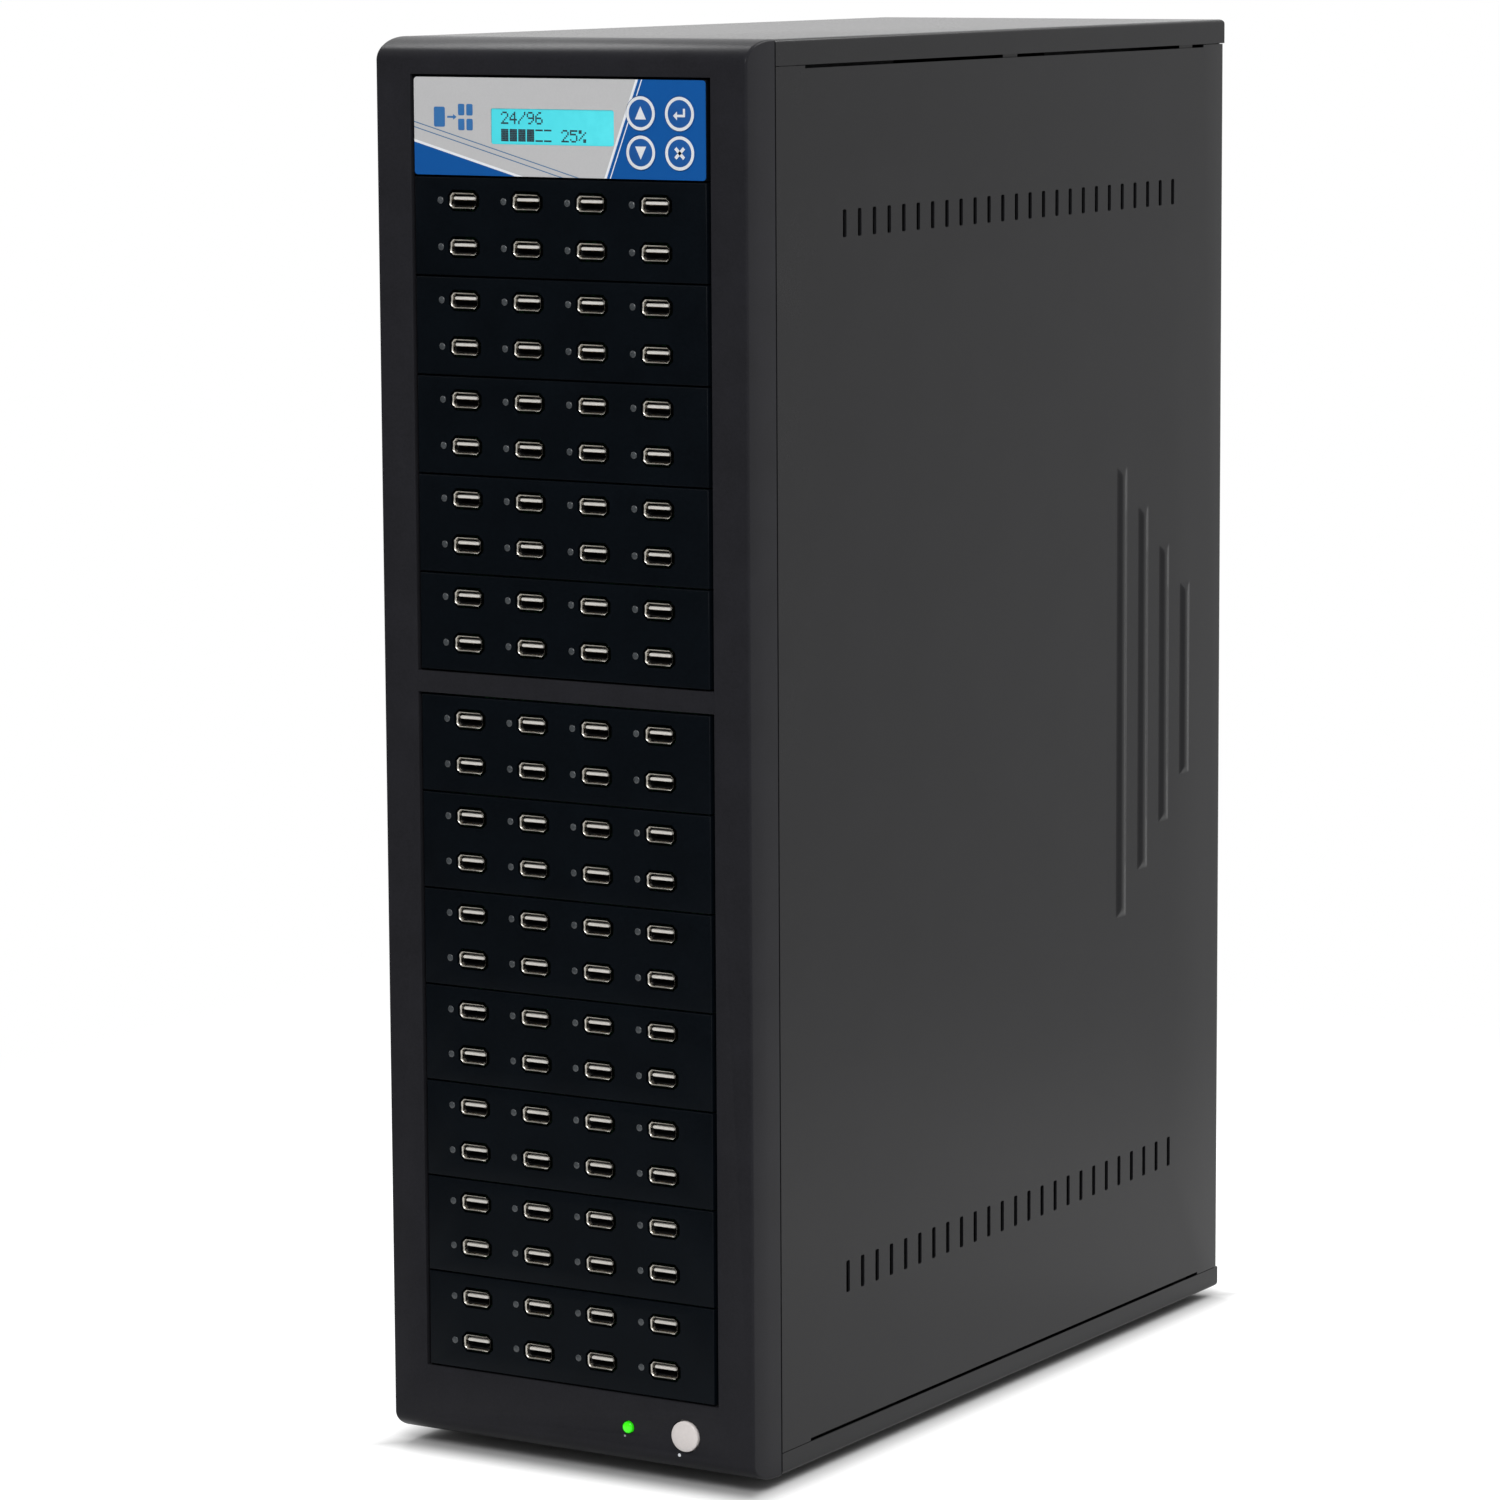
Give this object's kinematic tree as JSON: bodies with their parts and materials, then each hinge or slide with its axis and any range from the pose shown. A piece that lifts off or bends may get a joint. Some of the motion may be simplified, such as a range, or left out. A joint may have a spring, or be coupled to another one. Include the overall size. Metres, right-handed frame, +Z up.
{
  "type": "usb flash drive duplicator",
  "caption": "Tower duplicator for USB flash drives: bays of sockets with lamps behind a moulded bezel, a control panel with display and keys, and a painted steel case.",
  "frame": {"origin": "centre of the bounding box's bottom, on the surface that the feet stand on", "axes": "the front with the sockets faces -Y, +Z is up, +X is the side with the power button"},
  "size_m": [0.186, 0.433, 0.61],
  "materials": {
    "bezel_plastic": "fine moulded grain, charcoal",
    "board_green": "circuit board with solder mask",
    "button_plastic": "white, polished",
    "case_paint": "powder coat with a fine texture, dark gray",
    "control_overlay": "printed film, satin",
    "display_glass": "lit display, cyan",
    "fan_plastic": "black, satin",
    "foot_rubber": "matte black",
    "inlet_plastic": "black, satin",
    "key_plastic": "blue, satin",
    "lamp_green": "lit lens, green",
    "panel_plastic": "fine moulded grain, blue-black",
    "rocker_plastic": "black, polished",
    "screw_nickel": "nickel plated, knurled",
    "socket_nickel": "nickel plated, warm",
    "zinc_steel": "zinc coated, dull"
  },
  "bodies": {
    "tower": {"base_pan": "case_paint", "bay_rail_left": "zinc_steel", "bay_rail_right": "zinc_steel", "case_fan_frame": "fan_plastic", "control_board": "board_green", "control_panel": "control_overlay", "display_module": "display_glass", "foot_front_left": "foot_rubber", "foot_front_right": "foot_rubber", "foot_rear_left": "foot_rubber", "foot_rear_right": "foot_rubber", "front_bezel": "bezel_plastic", "port_board_01": "socket_nickel", "port_board_02": "socket_nickel", "port_board_03": "socket_nickel", "port_board_04": "socket_nickel", "port_board_05": "socket_nickel", "port_board_06": "socket_nickel", "port_board_07": "socket_nickel", "port_board_08": "socket_nickel", "port_board_09": "socket_nickel", "port_board_10": "socket_nickel", "port_board_11": "socket_nickel", "port_board_12": "socket_nickel", "port_panel_01": "panel_plastic", "port_panel_02": "panel_plastic", "port_panel_03": "panel_plastic", "port_panel_04": "panel_plastic", "port_panel_05": "panel_plastic", "port_panel_06": "panel_plastic", "port_panel_07": "panel_plastic", "port_panel_08": "panel_plastic", "port_panel_09": "panel_plastic", "port_panel_10": "panel_plastic", "port_panel_11": "panel_plastic", "port_panel_12": "panel_plastic", "power_inlet": "inlet_plastic", "power_lamp": "lamp_green", "rear_panel": "case_paint", "supply_case": "zinc_steel", "supply_fan_frame": "fan_plastic", "switch_board": "board_green", "top_cover": "case_paint"},
    "case_fan_rotor_body": {"case_fan_rotor": "fan_plastic"},
    "key_down_body": {"key_down": "key_plastic"},
    "key_enter_body": {"key_enter": "key_plastic"},
    "key_escape_body": {"key_escape": "key_plastic"},
    "key_up_body": {"key_up": "key_plastic"},
    "power_button_body": {"power_button": "button_plastic"},
    "rocker_switch_body": {"rocker_switch": "rocker_plastic"},
    "side_panel_left_body": {"side_panel_left": "case_paint"},
    "side_panel_right_body": {"side_panel_right": "case_paint"},
    "supply_fan_rotor_body": {"supply_fan_rotor": "fan_plastic"},
    "thumbscrew_left_lower_body": {"thumbscrew_left_lower": "screw_nickel"},
    "thumbscrew_left_upper_body": {"thumbscrew_left_upper": "screw_nickel"},
    "thumbscrew_right_lower_body": {"thumbscrew_right_lower": "screw_nickel"},
    "thumbscrew_right_upper_body": {"thumbscrew_right_upper": "screw_nickel"}
  },
  "joints": [
    {"name": "power_button_press", "type": "slide", "parent": "tower", "child": "power_button_body", "axis": [0, 1, 0], "range_m": [0, 0.002], "stiffness_N_per_m": 800},
    {"name": "key_up_press", "type": "slide", "parent": "tower", "child": "key_up_body", "axis": [0, 1, 0], "range_m": [0, 0.0006], "stiffness_N_per_m": 1500},
    {"name": "key_down_press", "type": "slide", "parent": "tower", "child": "key_down_body", "axis": [0, 1, 0], "range_m": [0, 0.0006], "stiffness_N_per_m": 1500},
    {"name": "key_enter_press", "type": "slide", "parent": "tower", "child": "key_enter_body", "axis": [0, 1, 0], "range_m": [0, 0.0006], "stiffness_N_per_m": 1500},
    {"name": "key_escape_press", "type": "slide", "parent": "tower", "child": "key_escape_body", "axis": [0, 1, 0], "range_m": [0, 0.0006], "stiffness_N_per_m": 1500},
    {"name": "rocker_tip", "type": "hinge", "parent": "tower", "child": "rocker_switch_body", "pos_m": [0.0525, 0.20735, 0.58], "axis": [1, 0, 0], "range_deg": [-14, 0]},
    {"name": "case_fan_rotor_spin", "type": "hinge", "parent": "tower", "child": "case_fan_rotor_body", "pos_m": [0, 0.20755, 0.405], "axis": [0, 1, 0], "continuous": true},
    {"name": "supply_fan_rotor_spin", "type": "hinge", "parent": "tower", "child": "supply_fan_rotor_body", "pos_m": [-0.0295, 0.20625, 0.5657], "axis": [0, 1, 0], "continuous": true},
    {"name": "side_panel_left_slide", "type": "slide", "parent": "tower", "child": "side_panel_left_body", "axis": [0, 1, 0], "range_m": [0, 0.015]},
    {"name": "thumbscrew_left_lower_turn", "type": "hinge", "parent": "side_panel_left_body", "child": "thumbscrew_left_lower_body", "pos_m": [-0.0822, 0.21045, 0.13166], "axis": [0, 1, 0], "continuous": true},
    {"name": "thumbscrew_left_upper_turn", "type": "hinge", "parent": "side_panel_left_body", "child": "thumbscrew_left_upper_body", "pos_m": [-0.0822, 0.21045, 0.48194], "axis": [0, 1, 0], "continuous": true},
    {"name": "side_panel_right_slide", "type": "slide", "parent": "tower", "child": "side_panel_right_body", "axis": [0, 1, 0], "range_m": [0, 0.015]},
    {"name": "thumbscrew_right_lower_turn", "type": "hinge", "parent": "side_panel_right_body", "child": "thumbscrew_right_lower_body", "pos_m": [0.0822, 0.21045, 0.13166], "axis": [0, 1, 0], "continuous": true},
    {"name": "thumbscrew_right_upper_turn", "type": "hinge", "parent": "side_panel_right_body", "child": "thumbscrew_right_upper_body", "pos_m": [0.0822, 0.21045, 0.48194], "axis": [0, 1, 0], "continuous": true}
  ]
}
